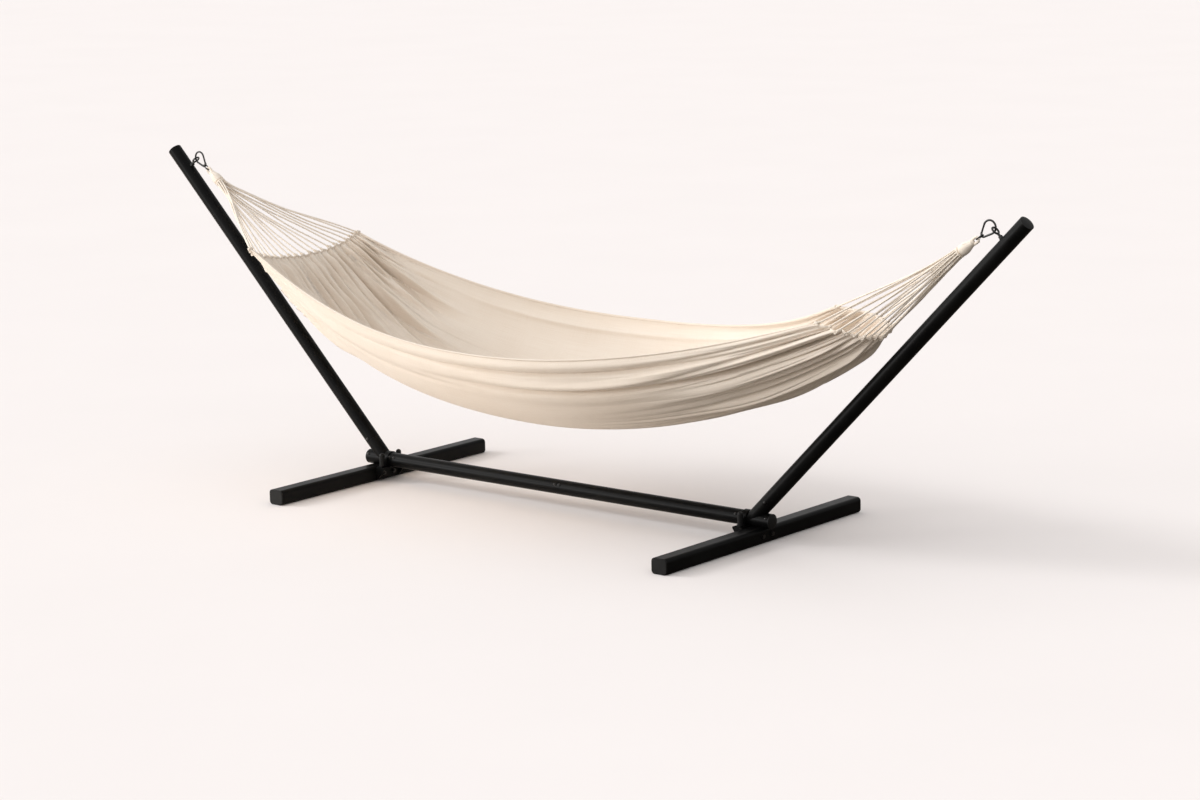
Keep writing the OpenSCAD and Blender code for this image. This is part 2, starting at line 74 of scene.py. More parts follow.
CORD_LAY = 0.026  # length of one whole turn of its strands
CORD_SAG = 0.004
CORD_WAVINESS = {"left": 0.0042, "right": 0.0022}
HEM_R = 0.0042
SCALLOP = 0.0035
TIE_R, TIE_LAY = 0.0024, 0.012
WHIPPING_R, WHIPPING_RING_R, WHIPPING_STEP = 0.0016, 0.0034, 0.0028
CORNER_KNOT_R = 0.0032
PITCH_T = 2 / (CORDS - 1)

# Where each end's cords meet, from the CAD pieces of the right end. The left end mirrors it.
PULL_ANGLE = math.radians(216)
PULL = np.array([math.cos(PULL_ANGLE), 0.0, math.sin(PULL_ANGLE)])
PULL_UP = np.array([math.cos(PULL_ANGLE - math.pi / 2), 0.0, math.sin(PULL_ANGLE - math.pi / 2)])
ACROSS = np.array([0.0, 1.0, 0.0])
LOOP_START = np.array([1.58811, 0.0, 1.00719])
LOOP_LEN, COLLAR_LEN = 0.034, 0.046
COLLAR_START = LOOP_START + LOOP_LEN * PULL
COLLAR_END = COLLAR_START + COLLAR_LEN * PULL
COLLAR_TAPER = 0.016
RING_SPREAD = math.radians(155)  # half of the arc over which the cords leave the collar
RING_RADII = (0.0146, 0.0100)  # of every other cord
LOOP_BEND_R, LOOP_CORD_R, LOOP_LEGS, LOOP_NARROWING = 0.0078, 0.0046, 0.036, 0.002


def unit(v):
    v = np.asarray(v, float)
    return v / np.linalg.norm(v, axis=-1, keepdims=True)


def smooth_step(a, b, x):
    u = np.clip((x - a) / (b - a), 0, 1)
    return u * u * (3 - 2 * u)


def mirrored(points, side):
    out = np.array(points, float)
    out[..., 0] *= side
    return out


# ---------------------------------------------------------------------------------------------
# Meshes


class Shape:
    """Collects grids of points into one mesh."""

    def __init__(self):
        self.points, self.faces, self.uvs, self.count = [], [], [], 0

    def add_grid(self, grid, uv, wrap=False, caps=False):
        rows, cols = grid.shape[:2]
        start = self.count
        self.points.append(grid.reshape(-1, 3))
        self.count += rows * cols
        across = cols if wrap else cols - 1
        for i in range(rows - 1):
            for j in range(across):
                k = (j + 1) % cols
                corners = [(i, j), (i, k), (i + 1, k), (i + 1, j)]
                self.faces.append([start + r * cols + c for r, c in corners])
                self.uvs.extend(uv(i + di, j + dj) for di, dj in ((0, 0), (0, 1), (1, 1), (1, 0)))
        if caps:
            for row, turn in ((0, 1), (rows - 1, -1)):
                ring = [start + row * cols + c for c in range(cols)][:: -turn]
                self.faces.append(ring)
                self.uvs.extend([(0.0, 0.0)] * cols)

    def make(self, name, material):
        mesh = bpy.data.meshes.new(name)
        mesh.from_pydata(np.concatenate(self.points).tolist(), [], self.faces)
        layer = mesh.uv_layers.new(name="cloth")
        layer.data.foreach_set("uv", np.array(self.uvs, np.float32).ravel())
        mesh.materials.append(material)
        mesh.polygons.foreach_set("use_smooth", [True] * len(mesh.polygons))
        mesh.update()
        obj = bpy.data.objects.new(name, mesh)
        bpy.context.scene.collection.objects.link(obj)
        return obj


def resample(path, step):
    """The same polyline with evenly spaced points, and how far along it each one is."""
    lengths = np.concatenate([[0], np.cumsum(np.linalg.norm(np.diff(path, axis=0), axis=1))])
    n = max(3, int(round(lengths[-1] / step)) + 1)
    at = np.linspace(0, lengths[-1], n)
    return np.stack([np.interp(at, lengths, path[:, k]) for k in range(3)], 1), at


def side_vectors(path, first=None, closed=False):
    """Two unit vectors across a path at each of its points, turned as little as possible."""
    tangent = unit(np.gradient(path, axis=0))
    if closed:
        tangent = unit(np.roll(path, -1, 0) - np.roll(path, 1, 0))
    across = first if first is not None else np.cross(tangent[0], [0.31, 0.27, 0.91])
    sides = []
    for t in tangent:
        across = across - np.dot(across, t) * t
        across = across / np.linalg.norm(across)
        sides.append(across)
    sides = np.array(sides)
    return sides, np.cross(tangent, sides)


def strand_section(points=12, strands=3, shallowest=0.74):
    """Outline of a laid cord of several strands, as radii of a unit circle."""
    angle = np.arange(points) * 2 * math.pi / points
    half = math.pi / strands
    bore = math.sin(half) / (1 + math.sin(half))
    centre = 1 - bore
    local = (angle + half) % (2 * half) - half
    inside = np.maximum(bore**2 - (centre * np.sin(local)) ** 2, 0)
    return angle, np.maximum(centre * np.cos(local) + np.sqrt(inside), shallowest)


ROUND = (np.arange(10) * 2 * math.pi / 10, np.ones(10))
ROPE = strand_section()
CORD = strand_section(12, 3, 0.88)


def add_tube(shape, path, radius, section=ROUND, lay=None, closed=False, first=None, flat=1.0):
    """A tube along a path. radius is one number or one per point; lay twists its section."""
    angle, outline = section
    u, v = side_vectors(path, first, closed)
    if closed:
        path, u, v = (np.concatenate([a, a[:1]]) for a in (path, u, v))
    along = np.concatenate([[0], np.cumsum(np.linalg.norm(np.diff(path, axis=0), axis=1))])
    turn = np.zeros(len(path)) if lay is None else 2 * math.pi * along / lay
    if closed and lay is not None:  # a whole number of turns, so the seam meets
        turns = max(1, round(along[-1] / lay))
        turn = 2 * math.pi * turns * along / along[-1]
    r = np.broadcast_to(np.asarray(radius, float), (len(path),))[:, None] * outline[None, :]
    a = angle[None, :] + turn[:, None]
    wide = (r * np.cos(a))[..., None] * u[:, None]
    high = (flat * r * np.sin(a))[..., None] * v[:, None]
    ring = path[:, None] + wide + high
    size = float(np.mean(r)) * 2 * math.pi / len(angle)
    shape.add_grid(ring, lambda i, j: (j * size, along[i]), wrap=True, caps=not closed)


def circle_path(centre, axis_a, axis_b, radius, points=20):
    at = np.arange(points) * 2 * math.pi / points
    return centre + radius * (np.cos(at)[:, None] * axis_a + np.sin(at)[:, None] * axis_b)


# ---------------------------------------------------------------------------------------------
# Materials


class Nodes:
    """A small helper that builds a node tree one socket at a time."""

    def __init__(self, name):
        self.material = bpy.data.materials.new(name)
        self.material.use_nodes = True
        self.tree = self.material.node_tree
        self.shader = self.tree.nodes["Principled BSDF"]

    def node(self, kind, links=None, **settings):
        made = self.tree.nodes.new(kind)
        for key, value in settings.items():
            setattr(made, key, value)
        for key, value in (links or {}).items():
            self.put(made.inputs[key], value)
        return made

    def put(self, socket, value):
        if isinstance(value, bpy.types.NodeSocket):
            self.tree.links.new(value, socket)
        else:
            socket.default_value = value

    def set(self, **values):
        for key, value in values.items():
            self.put(self.shader.inputs[key.replace("_", " ")], value)

    def position(self):
        return self.node("ShaderNodeTexCoord").outputs["Object"]

    def scaled(self, vector, scale):
        return self.node("ShaderNodeMapping", {"Vector": vector, "Scale": scale}).outputs["Vector"]

    def noise(self, vector, scale, detail=3.0, roughness=0.55):
        links = {"Vector": vector, "Scale": scale, "Detail": detail, "Roughness": roughness}
        return self.node("ShaderNodeTexNoise", links).outputs["Fac"]

    def wave(self, vector, scale, direction, distortion=0.0):
        links = {"Vector": vector, "Scale": scale, "Distortion": distortion, "Detail": 1.0}
        made = self.node("ShaderNodeTexWave", links, wave_type="BANDS", bands_direction=direction)
        return made.outputs["Fac"]

    def math(self, operation, a, b=0.0):
        made = self.node("ShaderNodeMath", operation=operation)
        self.put(made.inputs[0], a)
        self.put(made.inputs[1], b)
        return made.outputs[0]

    def span(self, value, low, high, start=0.0, end=1.0):
        links = {"Value": value, "From Min": start, "From Max": end, "To Min": low, "To Max": high}
        return self.node("ShaderNodeMapRange", links).outputs["Result"]

    def ramp(self, value, *stops):
        made = self.node("ShaderNodeValToRGB", {"Fac": value})
        elements = made.color_ramp.elements
        while len(elements) < len(stops):
            elements.new(0.5)
        for element, (place, colour) in zip(elements, stops):
            element.position = place
            element.color = (*colour, 1)
        return made.outputs["Color"]

    def bump(self, height, distance, strength=1.0, normal=None):
        links = {"Height": height, "Distance": distance, "Strength": strength}
        if normal is not None:
            links["Normal"] = normal
        return self.node("ShaderNodeBump", links).outputs["Normal"]


def powder_coat(name, dark, light, grain, rough, depth, specular):
    """Black coat: fine orange peel of a grain and a depth, faint dust and handling marks."""
    m = Nodes(name)
    place = m.position()
    marks = m.noise(place, 9.0, 5.0, 0.62)
    dust = m.noise(place, 140.0, 4.0, 0.7)
    tone = m.math("ADD", m.math("MULTIPLY", marks, 0.7), m.math("MULTIPLY", dust, 0.3))
    peel = m.noise(place, grain, 2.0, 0.5)
    m.set(
        Base_Color=m.ramp(tone, (0.38, dark), (0.66, light)),
        Roughness=m.span(tone, rough[0], rough[1], 0.35, 0.65),
        Specular_IOR_Level=specular,
        Normal=m.bump(peel, depth),
    )
    return m.material


def grained_plastic(name):
    m = Nodes(name)
    place = m.position()
    grain = m.node("ShaderNodeTexVoronoi", {"Vector": place, "Scale": 900.0}).outputs["Distance"]
    wear = m.noise(place, 26.0, 5.0, 0.65)
    m.set(
        Base_Color=m.ramp(wear, (0.35, (0.004, 0.004, 0.0042)), (0.7, (0.010, 0.0098, 0.0095))),
        Roughness=m.span(wear, 0.44, 0.62, 0.3, 0.7),
        Specular_IOR_Level=0.2,
        Normal=m.bump(grain, 0.00012, 0.7),
    )
    return m.material


def worked_metal(name, low, high, rough):
    """Bare steel with drawn scratches and a mottled tone."""
    m = Nodes(name)
    place = m.position()
    scratches = m.noise(m.scaled(place, (160.0, 160.0, 1600.0)), 1.0, 3.0, 0.6)
    spangle = m.noise(place, 210.0, 3.0, 0.6)
    m.set(
        Base_Color=m.ramp(spangle, (0.3, low), (0.72, high)),
        Metallic=1.0,
        Roughness=m.span(scratches, rough[0], rough[1], 0.3, 0.7),
        Normal=m.bump(scratches, 0.00003),
    )
    return m.material


def canvas_material(name):
    """Heavy natural cotton canvas, woven along the two UV axes, in metres."""
    m = Nodes(name)
    uv = m.node("ShaderNodeUVMap", uv_map="cloth").outputs["UV"]
    drift = m.noise(uv, 60.0, 2.0)
    wobble = m.node("ShaderNodeVectorMath", operation="SCALE")
    jitter = m.node("ShaderNodeTexNoise", {"Vector": uv, "Scale": 90.0})
    m.put(wobble.inputs[0], jitter.outputs["Color"])
    wobble.inputs["Scale"].default_value = 0.0009
    woven_uv = m.node("ShaderNodeVectorMath", operation="ADD")
    m.put(woven_uv.inputs[0], uv)
    m.put(woven_uv.inputs[1], wobble.outputs[0])
    bands = 2 * math.pi / (20 * THREAD_PITCH)  # at a scale of 1 they are 2 pi / 20 apart
    warp = m.wave(woven_uv.outputs[0], bands, "X")
    weft = m.wave(woven_uv.outputs[0], bands, "Y")
    threads = m.math("ADD", m.math("POWER", warp, 0.7), m.math("POWER", weft, 0.7))
    slub_warp = m.noise(m.scaled(uv, (420.0, 7.0, 1.0)), 1.0, 3.0, 0.6)
    slub_weft = m.noise(m.scaled(uv, (9.0, 330.0, 1.0)), 1.0, 3.0, 0.6)
    fibres = m.noise(uv, 2600.0, 3.0, 0.7)
    patches = m.noise(uv, 3.4, 4.0, 0.5)
    tone = m.math("ADD", m.math("MULTIPLY", slub_warp, 0.34), m.math("MULTIPLY", slub_weft, 0.16))
    tone = m.math("ADD", tone, m.math("MULTIPLY", patches, 0.30))
    tone = m.math("ADD", tone, m.math("MULTIPLY", fibres, 0.12))
    tone = m.math("ADD", tone, m.math("MULTIPLY", threads, 0.04))
    height = m.math("ADD", m.math("MULTIPLY", threads, 0.5), m.math("MULTIPLY", slub_warp, 0.6))
    height = m.math("ADD", height, m.math("MULTIPLY", slub_weft, 0.3))
    height = m.math("ADD", height, m.math("MULTIPLY", fibres, 0.35))
    m.set(
        Base_Color=m.ramp(
            tone,
            (0.30, (0.70, 0.60, 0.495)),
            (0.46, (0.785, 0.69, 0.59)),
            (0.62, (0.825, 0.742, 0.65)),
        ),
        Roughness=m.span(drift, 0.84, 0.97, 0.3, 0.7),
        Specular_IOR_Level=0.2,
        Sheen_Weight=0.22,
        Sheen_Roughness=0.5,
        Normal=m.bump(height, 0.00042, 0.75),
    )
    return m.material


def cord_material(name):
    """Soft twisted cotton yarn."""
    m = Nodes(name)
    uv = m.node("ShaderNodeUVMap", uv_map="cloth").outputs["UV"]
    place = m.position()
    fibres = m.noise(m.scaled(uv, (2600.0, 420.0, 1.0)), 1.0, 3.0, 0.65)
    fuzz = m.noise(place, 1900.0, 3.0, 0.7)
    stretch = m.noise(place, 17.0, 3.0, 0.5)
    tone = m.math("ADD", m.math("MULTIPLY", fibres, 0.4), m.math("MULTIPLY", fuzz, 0.25))
    tone = m.math("ADD", tone, m.math("MULTIPLY", stretch, 0.35))
    m.set(
        Base_Color=m.ramp(
            tone,
            (0.34, (0.78, 0.69, 0.58)),
            (0.5, (0.86, 0.775, 0.675)),
            (0.66, (0.90, 0.83, 0.745)),
        ),
        Roughness=m.span(fuzz, 0.82, 0.98, 0.3, 0.7),
        Specular_IOR_Level=0.2,
        Sheen_Weight=0.25,
        Sheen_Roughness=0.5,
        Normal=m.bump(m.math("ADD", fibres, fuzz), 0.00015, 0.6),
    )
    return m.material


POWDER_STEEL = powder_coat(
    "powder_steel",
    dark=(0.0026, 0.0026, 0.0028),
    light=(0.0060, 0.0060, 0.0058),
    grain=1500.0,
    rough=(0.33, 0.43),
    depth=0.00002,
    specular=0.07,
)
BLACK_HARDWARE = powder_coat(
    "black_hardware",
    dark=(0.004, 0.004, 0.0042),
    light=(0.013, 0.0125, 0.012),
    grain=2400.0,
    rough=(0.24, 0.42),
    depth=0.00003,
    specular=0.45,
)
BLACK_PLASTIC = grained_plastic("black_plastic")
BRIGHT_STEEL = worked_metal("bright_steel", (0.42, 0.42, 0.43), (0.66, 0.65, 0.64), (0.2, 0.42))
CANVAS = canvas_material("canvas")
COTTON_CORD = cord_material("cotton_cord")

# Of each material: the pieces that have it at both ends of the stand.
LOOKS = [
    (BLACK_PLASTIC, ["foot_caps", "knee_plug", "arm_cap", "round_nuts"]),
    (
        BLACK_HARDWARE,
        ["eye_bolt", "eye_nuts", "hook", "gate", "link", "strap_bolts", "foot_bolts", "foot_nuts"],
    ),
    (BRIGHT_STEEL, ["gate_pin"]),
    (
        POWDER_STEEL,
        ["foot_tube", "spine_tube", "arm_tube", "knee", "knee_spigots", "bracket", "strap"],
    ),
]


def dress(node, material):
    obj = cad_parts[node]
    for slot in obj.material_slots:
        slot.material = material


for material, stems in LOOKS:
    for stem in stems:
        for end in SIDES:
            dress(f"{end}_{stem}", material)
dress("spine_sleeve", POWDER_STEEL)
dress("spine_screws", BLACK_HARDWARE)
dress("arm_screws", BLACK_HARDWARE)

# ---------------------------------------------------------------------------------------------
# The hung cloth


def trough(s, t):
    """The cloth's smooth shape, before any fold."""
    size = np.abs(s)
    left = s < 0

    def pick(key):
        return np.where(left, END_SHAPE["left"][key], END_SHAPE["right"][key])

    rim = RIM_Z_MID + (pick("rim_z") - RIM_Z_MID) * size**RIM_POWER
    sag = pick("sag")
    low = LOW_Z_MID + (pick("low_z") - LOW_Z_MID) * (sag * size**2 + (1 - sag) * size**4)
    bulge = np.maximum(1 - size**2, 0) ** WIDTH_POWER
    width = pick("half_w") + (HALF_W_MID - pick("half_w")) * bulge
    reach = pick("rim_reach") + (pick("low_reach") - pick("rim_reach")) * (1 - t * t)
    x = s * (reach + pick("skew") * size**2 * t)
    a = t * SECTION_ANGLE
    rise = (1 - np.cos(a)) / (1 - math.cos(SECTION_ANGLE))
    lean = size**2 * pick("tilt") * t + size**4 * pick("roll") * np.sin(math.pi * t)
    y = width * np.sin(a) / math.sin(SECTION_ANGLE)
    return np.stack([x, y, low + (rim - low) * rise + lean], -1)


def outward(s, t, step=2e-3):
    """Unit normal that points away from the person lying in the hammock."""
    s0, s1 = np.clip(s - step, -1, 1), np.clip(s + step, -1, 1)
    along = trough(s1, t) - trough(s0, t)
    across = trough(s, t + step) - trough(s, t - step)
    return unit(np.cross(across, along))


def draw_pleats(seed, amplitude, reach):
    """One pleat at each cord. Amplitude and reach, from and to, are in metres."""
    rng = np.random.default_rng(seed)
    n = CORDS
    return dict(
        t=-1 + PITCH_T * np.arange(n),
        size=amplitude * rng.uniform(0.55, 1.35, n),
        reach=rng.uniform(*reach, n),
        drift=rng.uniform(-0.35, 0.35, n) * PITCH_T,
        lean=rng.uniform(-0.28, 0.28, n),
    )


PLEATS = {
    "left": draw_pleats(11, -0.0280, (0.12, 0.42)),
    "right": draw_pleats(23, 0.0180, (0.14, 0.42)),
}

# Narrow ridges between and over the pleats: height, how far they run, how many and their phase.
FINE_PLEATS = {
    "left": dict(size=0.0080, reach=0.27, count=32, phase=0.4),
    "right": dict(size=-0.0090, reach=0.56, count=26, phase=2.1),
}

# Folds that run out of the gathered ends: where they start and end across the cloth, how long
# they are, half width across and height, positive outward. Lengths are in metres, and heights
# in metres before FOLD_DEPTH scales them.
LONG_FOLDS = {
    "left": [
        (0.93, 0.80, 0.34, 0.050, -0.010),
        (0.79, 0.66, 0.52, 0.052, 0.015),
        (0.60, 0.52, 0.40, 0.042, -0.011),
        (0.50, 0.36, 0.60, 0.050, 0.016),
        (0.33, 0.27, 0.34, 0.036, -0.009),
        (0.24, 0.12, 0.48, 0.045, 0.013),
        (0.07, 0.02, 0.30, 0.035, -0.009),
        (-0.06, -0.10, 0.42, 0.040, 0.011),
        (-0.30, -0.24, 0.36, 0.045, -0.009),
        (-0.50, -0.36, 0.46, 0.050, 0.010),
        (-0.78, -0.52, 0.50, 0.050, 0.013),
        (-0.88, -0.66, 0.42, 0.036, -0.010),
        (-0.97, -0.80, 0.60, 0.040, 0.012),
    ],
    "right": [
        (0.92, 0.84, 0.50, 0.045, 0.010),
        (0.72, 0.62, 0.42, 0.045, -0.008),
        (0.50, 0.40, 0.50, 0.048, 0.010),
        (0.22, 0.15, 0.40, 0.042, -0.008),
        (0.02, -0.04, 0.50, 0.045, 0.010),
        (-0.16, -0.20, 0.36, 0.036, -0.008),
        (-0.32, -0.34, 0.55, 0.040, 0.010),
        (-0.47, -0.47, 0.40, 0.034, -0.008),
        (-0.62, -0.60, 0.62, 0.042, 0.011),
        (-0.76, -0.72, 0.50, 0.034, -0.009),
        (-0.90, -0.84, 0.80, 0.045, 0.012),
    ],
}
FOLD_DEPTH = 1.9


def gathered(end, away, t):
    """Pleats and folds of one gathered end. away is the distance from its hem, in metres."""
    pleats = PLEATS[end]
    total = np.zeros(np.broadcast(away, t).shape)
    for i in range(CORDS):
        size, reach = pleats["size"][i], pleats["reach"][i]
        fade = np.exp(-((away / reach) ** 1.6)) * (0.45 + 0.55 * smooth_step(0.0, 0.06, away))
        centre = pleats["t"][i] + pleats["drift"][i] * smooth_step(0.02, reach, away)
        x = (t - centre) / PITCH_T
        x = x + pleats["lean"][i] * np.cos(math.pi * np.clip(x, -0.5, 0.5)) ** 2
        inside = np.abs(x) < 0.5
        ridge = np.where(inside, np.abs(np.cos(math.pi * np.clip(x, -0.5, 0.5))) ** 0.7, 0)
        total += size * fade * (ridge - 0.5 * inside)
    for t0, t1, length, half, height in LONG_FOLDS[end]:
        along = away / length
        centre = t0 + (t1 - t0) * smooth_step(0, 1, along)
        spread = half * (0.75 + 0.6 * along)
        x = (t - centre) / spread
        fade = smooth_step(0.0, 0.16, along) * (1 - smooth_step(0.55, 1.05, along))
        crease = np.exp(-(((np.abs(x) - 1.15) / 0.38) ** 2))
        total += FOLD_DEPTH * height * fade * (np.exp(-(np.abs(x) ** 1.5)) - 0.5 * crease)
    fine = FINE_PLEATS[end]
    wander = 0.55 * np.sin(5 * t + fine["phase"]) + 0.3 * np.sin(4 * away + 7 * t)
    crest = 1 - 2 * np.abs(np.cos(math.pi * (fine["count"] * (t + 1) / 2 + wander))) ** 0.7
    patchy = 0.72 + 0.28 * np.sin(8.3 * t + fine["phase"] + 3.1 * away)
    reach = fine["reach"] * (0.85 + 0.25 * np.sin(11 * t + 2 * fine["phase"]))
    fade = smooth_step(-0.03, 0.05, away) * np.exp(-((away / reach) ** 2))
    total += fine["size"] * crest * patchy * fade
    return total


def band(x, half):
    """A smooth bump of height 1 round x = 0."""
    return np.exp(-((x / half) ** 2))


def rim_folds(s, t):
    """The roll along each rim with the crease below it, and long folds of the front side."""
    grow = smooth_step(-0.75, 0.15, s) * (1 - 0.25 * smooth_step(0.8, 1.0, s))
    total = grow * (0.0105 * band(t + 0.955, 0.036) - 0.0125 * band(t + 0.895, 0.016))
    second = smooth_step(-0.35, 0.30, s) * (1 - 0.25 * smooth_step(0.9, 1.0, s))
    off = t - (-0.80 + 0.045 * np.sin(2.2 * s + 0.4))
    total += second * (0.0140 * band(off + 0.045, 0.034) - 0.0190 * band(off - 0.022, 0.020))
    total += second * 0.006 * band(off - 0.085, 0.05)
    left = smooth_step(-0.95, -0.7, s) * (1 - smooth_step(-0.35, 0.1, s))
    total += left * (0.0045 * band(t + 0.80, 0.05) - 0.004 * band(t + 0.72, 0.022))
    rear = smooth_step(-0.75, -0.3, s) * (1 - smooth_step(0.55, 0.95, s))
    crease = t - 0.895 - 0.01 * np.sin(3 * s)
    total += rear * (0.0060 * band(t - 0.955, 0.035) - 0.0065 * band(crease, 0.018))
    right = smooth_step(0.25, 0.7, s) * (1 - 0.4 * smooth_step(0.9, 1.0, s))
    total += right * (0.006 * band(t + 0.56, 0.045) - 0.0065 * band(t + 0.50, 0.02))
    total += right * (0.006 * band(t + 0.34, 0.045) - 0.005 * band(t + 0.28, 0.02))
    return total


def slack(s, t):
    """Broad lengthwise unevenness of cloth under load."""
    rng = np.random.default_rng(5)
    total = np.zeros(np.broadcast(s, t).shape)
    for _ in range(9):
        across, along = rng.uniform(5, 26), rng.uniform(0.6, 3.2)
        phase, bend = rng.uniform(0, 2 * math.pi), rng.uniform(-1.2, 1.2)
        total += 0.0011 * np.sin(across * t + bend * s + phase) * np.cos(along * s + 2 * phase)
    return total


def relief(s, t):
    """How far the cloth's folds lift it off the trough, outward."""
    away_left, away_right = (1 + s) * HALF_LENGTH, (1 - s) * HALF_LENGTH
    calm = 1 - 0.55 * smooth_step(0.80, 0.97, np.abs(t))
    return (
        calm * (1 - 0.75 * smooth_step(0.45, 0.80, -t)) * gathered("left", away_left, t)
        + calm * gathered("right", away_right, t)
        + rim_folds(s, t)
        + slack(s, t) * (1 - smooth_step(0.96, 1.0, np.abs(t)))
    )


def cloth_at(s, t, lift=0.0):
    """A point of the finished cloth, lift metres outside its middle layer."""
    s, t = np.broadcast_arrays(np.asarray(s, float), np.asarray(t, float))
    base = trough(s, t)
    normal = outward(s, t)
    scallop = SCALLOP * np.cos(2 * math.pi * (t + 1) / PITCH_T)
    pulled = np.exp(-(1 - np.abs(s)) * HALF_LENGTH / 0.02) * np.sign(s)
    base = base + (scallop * pulled)[..., None] * np.array([1.0, 0, 0])
    return base + (relief(s, t) + lift)[..., None] * normal


STEPS_S, STEPS_T = ((420, 440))


def make_cloth():
    """The sheet, with its rows of faces closer together near the hems."""
    u = np.linspace(-1, 1, STEPS_S + 1)
    s = 1.28 * u - 0.28 * u**3
    t = np.linspace(-1, 1, STEPS_T + 1)
    grid = cloth_at(s[:, None], t[None, :])
    shape = Shape()
    shape.add_grid(grid, lambda i, j: (t[j] * FLAT_WIDTH / 2, s[i] * FLAT_LENGTH / 2))
    cloth = shape.make("hammock_sheet", CANVAS)
    thick = cloth.modifiers.new("thickness", "SOLIDIFY")
    thick.thickness = CLOTH_T
    thick.offset = 0
    return cloth


def make_rims():
    """The rolled and sewn edge along each rim, and its row of stitches."""
    rolls, stitches = Shape(), Shape()
    s = np.linspace(-1, 1, 420)
    for t_edge in (-1, 1):
        path = cloth_at(s, t_edge)
        inward = cloth_at(s, t_edge * 0.985) - path
        add_tube(rolls, path, RIM_ROLL_R, first=unit(inward[0]), flat=RIM_ROLL_FLAT)
        fine = np.linspace(-0.985, 0.985, 430)
        t_seam = t_edge * (1 - 0.0215)
        for a, b in zip(fine[:-1:2], fine[1::2]):
            piece = cloth_at(np.linspace(a, b, 4), t_seam, STITCH_LIFT)
            add_tube(stitches, piece, STITCH_R, section=(ROUND[0][::2], ROUND[1][::2]))
    return rolls.make("rim_rolls", CANVAS), stitches.make("rim_stitches", COTTON_CORD)


cloth = make_cloth()
rim_rolls, rim_stitches = make_rims()

# ---------------------------------------------------------------------------------------------
# Gathered ends: rolled hem, cords, loops, collar


def ring_point(i):
    """Where cord i leaves the collar of the right end."""
    turn = RING_SPREAD * (-1 + PITCH_T * i)
    off_axis = RING_RADII[i % 2] * (math.sin(turn) * ACROSS - math.cos(turn) * PULL_UP)
    return COLLAR_END - 0.006 * PULL + off_axis


def make_hem(end):
    side = SIDES[end]
    t = np.linspace(-1, 1, (CORDS - 1) * 14 + 1)
    path = cloth_at(side, t)
    shape = Shape()
    wave = 1 + 0.16 * np.cos(2 * math.pi * (t + 1) / PITCH_T)
    add_tube(shape, path, HEM_R * wave)
    return shape.make(f"{end}_hem_roll", CANVAS)


def bezier(u, start, near_start, near_finish, finish):
    v = 1 - u
    return v**3 * start + 3 * u * v**2 * near_start + 3 * u**2 * v * near_finish + u**3 * finish


def make_cords(end):
    """The cords from collar to hem, and the ties that hold them to the hem."""
    side = SIDES[end]
    rng = np.random.default_rng(40 + side)
    shape = Shape()
    ties = Shape()
    waviness = CORD_WAVINESS[end]
    for i in range(CORDS):
        t = -1 + PITCH_T * i
        hem = cloth_at(side, t)
        pull = mirrored(PULL, side)
        hem_tangent = unit(cloth_at(side, min(t + 0.02, 1)) - cloth_at(side, max(t - 0.02, -1)))
        start = mirrored(ring_point(i), side)
        back = unit(start - hem)
        lateral = unit(np.cross(back, hem_tangent))
        finish = hem + back * (HEM_R + 0.001)
        u = np.linspace(0, 1, 60)[:, None]
        path = bezier(u, start, start + pull * 0.05, finish + back * 0.10, finish)
        turns, phases = rng.uniform(0.5, 1.6, 2), rng.uniform(size=2)
        bow = np.sin(math.pi * u) ** 1.2
        swing = waviness * np.sin(2 * math.pi * (turns[0] * u + phases[0]))
        lift = 0.7 * waviness * np.sin(2 * math.pi * (turns[1] * u + phases[1]))
        path = path + bow * (swing * hem_tangent + lift * lateral - np.array([0, 0, CORD_SAG]))
        even, at = resample(path, 0.0032)
        thin = 0.82 + 0.18 * smooth_step(0.02, 0.12, at)
        add_tube(shape, even, CORD_R * thin, section=CORD, lay=CORD_LAY)
        # the loop goes round the hem and is whipped just above it
        around = circle_path(hem, back, lateral, HEM_R + 0.0018, 18)
        add_tube(ties, around, TIE_R, section=ROPE, lay=TIE_LAY, closed=True)
        for k, tilt in enumerate((0.25, -0.3)):
            axis_a = unit(hem_tangent + tilt * back)
            middle = hem + back * (HEM_R + 0.0036 + WHIPPING_STEP * k)
            knot = circle_path(middle, axis_a, unit(np.cross(back, axis_a)), WHIPPING_RING_R, 14)
            add_tube(ties, knot, WHIPPING_R, closed=True)
    for t_edge in (-1, 1):  # a thicker knot at each corner
        corner = cloth_at(side, t_edge)
        inner = cloth_at(side, t_edge * 0.94)
        back = unit(mirrored(COLLAR_END, side) - corner)
        across = unit(inner - corner)
        third = unit(np.cross(back, across))
        for k, (turn, radius) in enumerate(((0.4, 0.0062), (-0.5, 0.0066), (1.5, 0.0058))):
            a = math.cos(turn) * across + math.sin(turn) * back
            ring = circle_path(corner + back * (0.003 * k - 0.002), unit(a), third, radius, 22)
            add_tube(ties, ring, CORNER_KNOT_R, section=ROPE, lay=TIE_LAY, closed=True)
    cords = shape.make(f"{end}_clew_cords", COTTON_CORD)
    return cords, ties.make(f"{end}_cord_knots", COTTON_CORD)


